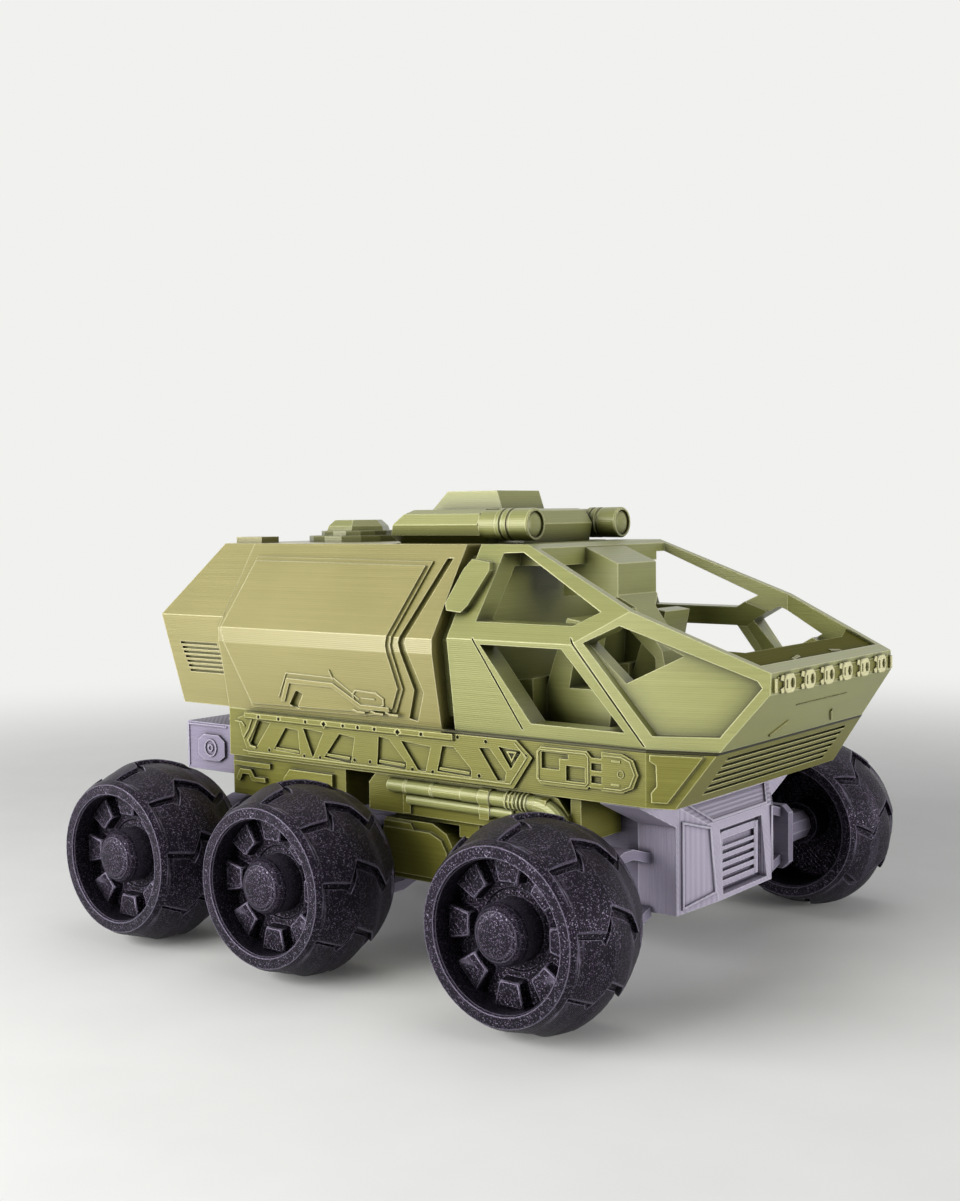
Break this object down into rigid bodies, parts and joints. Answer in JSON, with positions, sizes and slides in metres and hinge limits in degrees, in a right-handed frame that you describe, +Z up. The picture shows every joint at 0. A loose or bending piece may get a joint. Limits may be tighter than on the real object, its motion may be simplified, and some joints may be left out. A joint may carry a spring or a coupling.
{
  "type": "planetary rover model",
  "caption": "Printed toy of a faceted lunar rover: open cabin, closed habitat and box chassis on wheels that spin.",
  "frame": {"origin": "on the ground, under the middle of the whole model", "axes": "+X forward, +Y to the left, +Z up"},
  "size_m": [0.1965, 0.1674, 0.1228],
  "materials": {
    "green_pla": "silk printed PLA with fine layer lines",
    "grey_pla": "satin printed PLA with fine layer lines",
    "black_pla": "black printed PLA with fine glitter"
  },
  "bodies": {
    "root": {"arms_front_left": "grey_pla", "arms_front_right": "grey_pla", "arms_middle_left": "grey_pla", "arms_middle_right": "grey_pla", "arms_rear_left": "grey_pla", "arms_rear_right": "grey_pla", "cabin_shell": "green_pla", "chassis_box": "grey_pla", "front_bulkhead": "grey_pla", "habitat": "green_pla", "habitat_tail": "green_pla", "hood": "green_pla", "instrument_case": "green_pla", "knuckle_front_left": "grey_pla", "knuckle_front_right": "grey_pla", "knuckle_middle_left": "grey_pla", "knuckle_middle_right": "grey_pla", "knuckle_rear_left": "grey_pla", "knuckle_rear_right": "grey_pla", "lamp_strip": "green_pla", "lower_hull": "green_pla", "lower_tank_left": "green_pla", "lower_tank_right": "green_pla", "overhead_console": "green_pla", "rear_box": "grey_pla", "rear_pod_left": "green_pla", "rear_pod_right": "green_pla", "roof_fairing": "green_pla", "roof_hatch": "green_pla", "roof_tube_left": "green_pla", "roof_tube_right": "green_pla", "seat_left": "green_pla", "seat_right": "green_pla", "side_panel_left": "green_pla", "side_panel_right": "green_pla", "upper_pod_left": "green_pla", "upper_pod_right": "green_pla"},
    "wheel_front_left": {"hub_front_left": "black_pla", "tyre_front_left": "black_pla"},
    "wheel_front_right": {"hub_front_right": "black_pla", "tyre_front_right": "black_pla"},
    "wheel_middle_left": {"hub_middle_left": "black_pla", "tyre_middle_left": "black_pla"},
    "wheel_middle_right": {"hub_middle_right": "black_pla", "tyre_middle_right": "black_pla"},
    "wheel_rear_left": {"hub_rear_left": "black_pla", "tyre_rear_left": "black_pla"},
    "wheel_rear_right": {"hub_rear_right": "black_pla", "tyre_rear_right": "black_pla"}
  },
  "joints": [
    {"name": "spin_front_right", "type": "hinge", "parent": "root", "child": "wheel_front_right", "pos_m": [0.0568, -0.06935, 0.0248], "axis": [0, 1, 0], "continuous": true},
    {"name": "spin_front_left", "type": "hinge", "parent": "root", "child": "wheel_front_left", "pos_m": [0.0568, 0.06935, 0.0248], "axis": [0, 1, 0], "continuous": true},
    {"name": "spin_middle_right", "type": "hinge", "parent": "root", "child": "wheel_middle_right", "pos_m": [-0.0168, -0.06935, 0.0248], "axis": [0, 1, 0], "continuous": true},
    {"name": "spin_middle_left", "type": "hinge", "parent": "root", "child": "wheel_middle_left", "pos_m": [-0.0168, 0.06935, 0.0248], "axis": [0, 1, 0], "continuous": true},
    {"name": "spin_rear_right", "type": "hinge", "parent": "root", "child": "wheel_rear_right", "pos_m": [-0.073, -0.06935, 0.0248], "axis": [0, 1, 0], "continuous": true},
    {"name": "spin_rear_left", "type": "hinge", "parent": "root", "child": "wheel_rear_left", "pos_m": [-0.073, 0.06935, 0.0248], "axis": [0, 1, 0], "continuous": true}
  ]
}
